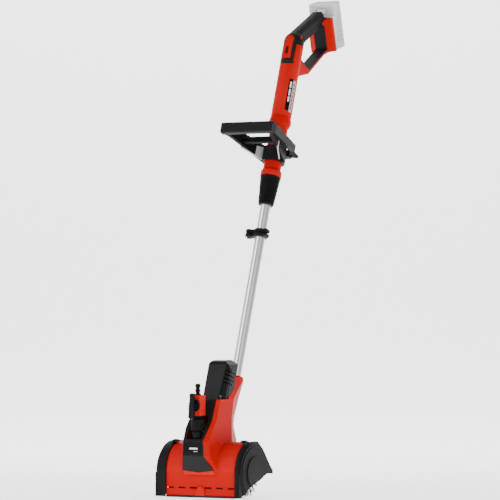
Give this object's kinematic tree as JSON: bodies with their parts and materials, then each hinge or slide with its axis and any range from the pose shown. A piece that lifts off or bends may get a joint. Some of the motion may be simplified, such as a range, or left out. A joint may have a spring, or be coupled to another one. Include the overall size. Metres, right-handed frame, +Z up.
{
  "type": "cordless roller brush",
  "caption": "Upright battery roller brush for patios: hooded brush roller with a geared motor tower, water inlet, telescopic tube, second handle and loop handle.",
  "frame": {"origin": "on the ground, under the middle of the machine's bounding box", "axes": "+Z up, +X the machine's left, along the roller; -Y the front, where the brush head is; the tube leans towards +Y"},
  "size_m": [0.256, 0.779, 1.3251],
  "materials": {
    "red_plastic": "satin moulded, fine grain",
    "black_plastic": "fine moulded grain",
    "soft_rubber": "matt soft grip",
    "panel_plastic": "smooth satin",
    "grey_plastic": "plain moulded",
    "battery_grey": "pale moulded, shown ghosted",
    "bristle_nylon": "coarse nylon tufts",
    "steel": "machined",
    "winding": "copper winding on laminated steel",
    "bearing_brass": "machined",
    "gearbox_alloy": "die cast",
    "aluminium": "drawn, satin",
    "board": "circuit board"
  },
  "bodies": {
    "brush_head": {"hood_shell": "red_plastic", "front_lip": "soft_rubber", "left_end_cap": "black_plastic", "right_end_cap": "black_plastic", "latch_pins": "steel", "left_tower_shell": "red_plastic", "right_tower_shell": "red_plastic", "front_trim": "black_plastic", "label_panel": "panel_plastic", "motor_housing": "black_plastic", "tower_screws": "steel", "left_gear_case": "gearbox_alloy", "right_gear_case": "gearbox_alloy", "plain_bearings": "bearing_brass", "motor_can": "steel", "valve_body": "red_plastic", "valve_bonnet": "black_plastic", "hose_nipple": "grey_plastic", "quick_connector": "black_plastic", "spray_bar": "grey_plastic", "water_pipe": "grey_plastic", "tube_socket": "red_plastic", "aluminium_tube": "aluminium"},
    "roller": {"drive_shaft": "steel", "left_brush_core": "grey_plastic", "right_brush_core": "grey_plastic", "brush_bristles": "bristle_nylon", "bevel_gear": "steel"},
    "layshaft_unit": {"layshaft": "steel", "layshaft_spur_gear": "steel"},
    "motor_unit": {"motor_shaft": "steel", "motor_rotor": "winding", "cooling_fan": "black_plastic"},
    "left_latch": {"left_cap_latch": "black_plastic"},
    "right_latch": {"right_cap_latch": "black_plastic"},
    "tap": {"tap_handle": "black_plastic"},
    "hose_collar": {"connector_collar": "black_plastic"},
    "clip": {"hose_clip": "black_plastic"},
    "handle": {"telescopic_sleeve": "red_plastic", "upper_collar": "red_plastic", "collet": "grey_plastic", "left_handle_shell": "red_plastic", "right_handle_shell": "red_plastic", "soft_grip": "soft_rubber", "dial_cover": "red_plastic", "handle_screws": "steel", "speed_board": "board", "switch_module": "black_plastic", "battery_housing": "red_plastic", "battery_terminals": "black_plastic"},
    "nut": {"clamp_nut": "black_plastic"},
    "second_handle": {"aux_handle": "black_plastic", "aux_inserts": "grey_plastic"},
    "clamp_lever": {"aux_lever": "black_plastic"},
    "trigger_body": {"trigger": "black_plastic"},
    "lock_off": {"lock_off_button": "red_plastic"},
    "dial": {"speed_dial": "black_plastic"},
    "battery": {"battery_case": "battery_grey", "battery_cells": "steel"},
    "battery_release": {"battery_button": "battery_grey"}
  },
  "joints": [
    {"name": "roller_spin", "type": "hinge", "parent": "brush_head", "child": "roller", "pos_m": [0.008, -0.26198, 0.06], "axis": [1, 0, 0], "continuous": true},
    {"name": "layshaft_spin", "type": "hinge", "parent": "brush_head", "child": "layshaft_unit", "pos_m": [0.008, -0.26198, 0.14], "axis": [0, 0, 1], "continuous": true},
    {"name": "motor_spin", "type": "hinge", "parent": "brush_head", "child": "motor_unit", "pos_m": [0.008, -0.23698, 0.2], "axis": [0, 0, 1], "continuous": true},
    {"name": "left_latch_rock", "type": "hinge", "parent": "brush_head", "child": "left_latch", "pos_m": [0.114, -0.28698, 0.1385], "axis": [0, 1, 0], "range_deg": [0, 20]},
    {"name": "right_latch_rock", "type": "hinge", "parent": "brush_head", "child": "right_latch", "pos_m": [-0.098, -0.28698, 0.1385], "axis": [0, -1, 0], "range_deg": [0, 20]},
    {"name": "tap_turn", "type": "hinge", "parent": "brush_head", "child": "tap", "pos_m": [0.008, -0.36348, 0.236], "axis": [0, 1, 0], "range_deg": [0, 90]},
    {"name": "hose_collar_pull", "type": "slide", "parent": "brush_head", "child": "hose_collar", "axis": [0, 0, -1], "range_m": [0, 0.003], "stiffness_N_per_m": 800, "springref_m": -0.003},
    {"name": "clip_slide", "type": "slide", "parent": "brush_head", "child": "clip", "axis": [0, 0.3338, 0.9426], "range_m": [-0.15, 0]},
    {"name": "telescope", "type": "slide", "parent": "brush_head", "child": "handle", "axis": [0, 0.3338, 0.9426], "range_m": [-0.065, 0.06]},
    {"name": "nut_turn", "type": "hinge", "parent": "handle", "child": "nut", "pos_m": [0.008, 0.01842, 0.79182], "axis": [0, 0.3338, 0.9426], "range_deg": [0, 120]},
    {"name": "second_handle_slide", "type": "slide", "parent": "handle", "child": "second_handle", "axis": [0, 0.3338, 0.9426], "range_m": [-0.015, 0.055]},
    {"name": "clamp_lever_turn", "type": "hinge", "parent": "second_handle", "child": "clamp_lever", "pos_m": [0.008, 0.09557, 0.89286], "axis": [1, 0, 0], "range_deg": [0, 90]},
    {"name": "trigger_pull", "type": "hinge", "parent": "handle", "child": "trigger_body", "pos_m": [0.008, 0.28454, 1.25263], "axis": [-1, 0, 0], "range_deg": [0, 4], "stiffness_Nm_per_rad": 1.5, "springref_deg": -8.59},
    {"name": "lock_off_push", "type": "slide", "parent": "handle", "child": "lock_off", "axis": [1, 0, 0], "range_m": [-0.003, 0.003], "stiffness_N_per_m": 400},
    {"name": "dial_turn", "type": "hinge", "parent": "handle", "child": "dial", "pos_m": [0.008, 0.13241, 1.17155], "axis": [1, 0, 0], "range_deg": [0, 270]},
    {"name": "battery_slide", "type": "slide", "parent": "handle", "child": "battery", "axis": [0, -0.2639, 0.9646], "range_m": [0, 0.085]},
    {"name": "battery_release_push", "type": "slide", "parent": "battery", "child": "battery_release", "axis": [0, 0.9646, 0.2639], "range_m": [0, 0.0025], "stiffness_N_per_m": 600, "springref_m": -0.002}
  ],
  "couplings": [
    {"joint": "layshaft_spin", "follows": "roller_spin", "ratio": -2.4},
    {"joint": "motor_spin", "follows": "roller_spin", "ratio": 9.6}
  ]
}
